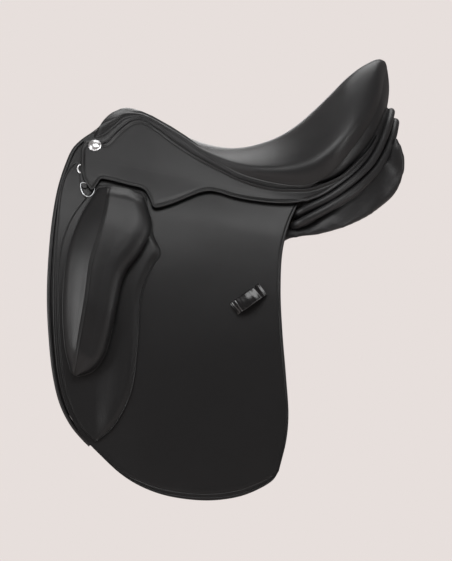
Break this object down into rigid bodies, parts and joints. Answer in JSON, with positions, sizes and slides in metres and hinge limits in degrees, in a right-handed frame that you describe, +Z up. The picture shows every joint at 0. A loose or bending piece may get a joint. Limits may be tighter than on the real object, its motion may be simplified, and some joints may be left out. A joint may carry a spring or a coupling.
{
  "type": "english saddle",
  "caption": "Dressage saddle in black leather with long flaps, outside thigh blocks, lifting skirts over the stirrup bars and girth straps.",
  "frame": {"origin": "centre line, under the seat's lowest point, at the height where the panels bear on the horse's back", "axes": "+X towards the cantle, +Y towards the off (right) side, +Z up"},
  "size_m": [0.5198, 0.396, 0.6396],
  "materials": {
    "seat_leather": "satin",
    "side_leather": "satin",
    "flap_leather": "satin",
    "gloss_leather": "gloss",
    "panel_leather": "matte",
    "tree_wood": "matte",
    "steel": "satin",
    "polished_steel": "polished",
    "webbing": "matte"
  },
  "bodies": {
    "saddle": {"seat": "seat_leather", "tree": "tree_wood", "seat_webs": "webbing", "head_plate": "steel", "cantle_back": "side_leather", "rear_roll_upper": "panel_leather", "rear_roll_lower": "panel_leather", "front_roll": "side_leather", "pommel_facing": "side_leather", "panel_left": "panel_leather", "tree_point_left": "tree_wood", "sweat_flap_left": "flap_leather", "skirt_top_left": "side_leather", "seat_welt_left": "side_leather", "stirrup_bar_left": "steel", "nail_head_left": "polished_steel", "girth_web_front_left": "webbing", "girth_web_rear_left": "webbing", "panel_right": "panel_leather", "tree_point_right": "tree_wood", "sweat_flap_right": "flap_leather", "skirt_top_right": "side_leather", "seat_welt_right": "side_leather", "stirrup_bar_right": "steel", "nail_head_right": "polished_steel", "girth_web_front_right": "webbing", "girth_web_rear_right": "webbing"},
    "flap_body_left": {"flap_left": "flap_leather", "overlay_left": "flap_leather", "thigh_block_left": "side_leather", "keeper_left": "gloss_leather", "dee_chape_left": "side_leather"},
    "skirt_body_left": {"skirt_left": "side_leather"},
    "dee_body_left": {"dee_ring_left": "polished_steel"},
    "catch_body_left": {"bar_catch_left": "steel"},
    "strap_front_body_left": {"girth_strap_front_left": "flap_leather"},
    "strap_rear_body_left": {"girth_strap_rear_left": "flap_leather"},
    "flap_body_right": {"flap_right": "flap_leather", "overlay_right": "flap_leather", "thigh_block_right": "side_leather", "keeper_right": "gloss_leather", "dee_chape_right": "side_leather"},
    "skirt_body_right": {"skirt_right": "side_leather"},
    "dee_body_right": {"dee_ring_right": "polished_steel"},
    "catch_body_right": {"bar_catch_right": "steel"},
    "strap_front_body_right": {"girth_strap_front_right": "flap_leather"},
    "strap_rear_body_right": {"girth_strap_rear_right": "flap_leather"}
  },
  "joints": [
    {"name": "flap_lift_left", "type": "hinge", "parent": "saddle", "child": "flap_body_left", "pos_m": [0, -0.11659, 0.0745], "axis": [-0.9648, 0.1785, 0.193], "range_deg": [0, 70]},
    {"name": "skirt_lift_left", "type": "hinge", "parent": "flap_body_left", "child": "skirt_body_left", "pos_m": [0, -0.11659, 0.0745], "axis": [-0.9648, 0.1785, 0.193], "range_deg": [0, 60]},
    {"name": "dee_swing_left", "type": "hinge", "parent": "flap_body_left", "child": "dee_body_left", "pos_m": [-0.21746, -0.09079, 0.08634], "axis": [-0.9648, 0.1785, 0.193], "range_deg": [0, 3]},
    {"name": "catch_swing_left", "type": "hinge", "parent": "saddle", "child": "catch_body_left", "pos_m": [-0.08998, -0.10068, 0.07766], "axis": [-0.0513, -0.8479, 0.5277], "range_deg": [0, 60]},
    {"name": "strap_front_swing_left", "type": "hinge", "parent": "saddle", "child": "strap_front_body_left", "pos_m": [-0.07007, -0.12149, 0.02874], "axis": [-0.0567, -0.9885, 0.1401], "range_deg": [-4, 4]},
    {"name": "strap_rear_swing_left", "type": "hinge", "parent": "saddle", "child": "strap_rear_body_left", "pos_m": [0.00519, -0.13244, 0.01369], "axis": [-0.0597, -0.9903, 0.1256], "range_deg": [-4, 4]},
    {"name": "flap_lift_right", "type": "hinge", "parent": "saddle", "child": "flap_body_right", "pos_m": [0, 0.11659, 0.0745], "axis": [0.9648, 0.1785, -0.193], "range_deg": [0, 70]},
    {"name": "skirt_lift_right", "type": "hinge", "parent": "flap_body_right", "child": "skirt_body_right", "pos_m": [0, 0.11659, 0.0745], "axis": [0.9648, 0.1785, -0.193], "range_deg": [0, 60]},
    {"name": "dee_swing_right", "type": "hinge", "parent": "flap_body_right", "child": "dee_body_right", "pos_m": [-0.21746, 0.09079, 0.08634], "axis": [0.9648, 0.1785, -0.193], "range_deg": [0, 3]},
    {"name": "catch_swing_right", "type": "hinge", "parent": "saddle", "child": "catch_body_right", "pos_m": [-0.08998, 0.10068, 0.07766], "axis": [0.0513, -0.8479, -0.5277], "range_deg": [0, 60]},
    {"name": "strap_front_swing_right", "type": "hinge", "parent": "saddle", "child": "strap_front_body_right", "pos_m": [-0.07007, 0.12149, 0.02874], "axis": [-0.0567, 0.9885, 0.1401], "range_deg": [-4, 4]},
    {"name": "strap_rear_swing_right", "type": "hinge", "parent": "saddle", "child": "strap_rear_body_right", "pos_m": [0.00519, 0.13244, 0.01369], "axis": [-0.0597, 0.9903, 0.1256], "range_deg": [-4, 4]}
  ]
}
